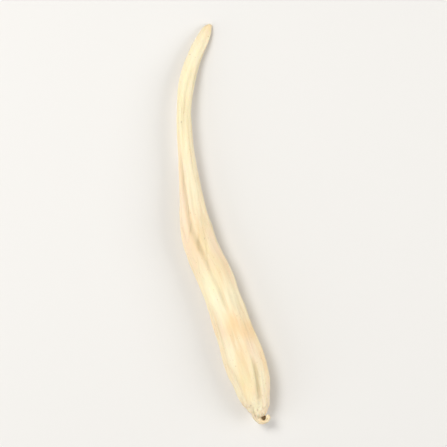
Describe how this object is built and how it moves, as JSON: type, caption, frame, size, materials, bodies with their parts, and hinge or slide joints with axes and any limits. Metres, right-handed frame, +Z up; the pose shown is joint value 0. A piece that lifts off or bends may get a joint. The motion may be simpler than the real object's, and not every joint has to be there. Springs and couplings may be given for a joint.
{
  "type": "safed musli root",
  "caption": "Dried, peeled storage root with a thin tail, a slim arched neck, a swollen furrowed body and a small curled stub.",
  "frame": {"origin": "on the surface that the root lies on, under the middle of its outline seen from above", "axes": "+Y from the curled stub towards the thin tail, +Z up, away from the surface, +X to the right seen from above with the tail at the far end"},
  "size_m": [0.0184, 0.0786, 0.0066],
  "materials": {
    "root_flesh": "matte"
  },
  "bodies": {
    "root": {"safed_musli_root": "root_flesh"}
  },
  "joints": []
}
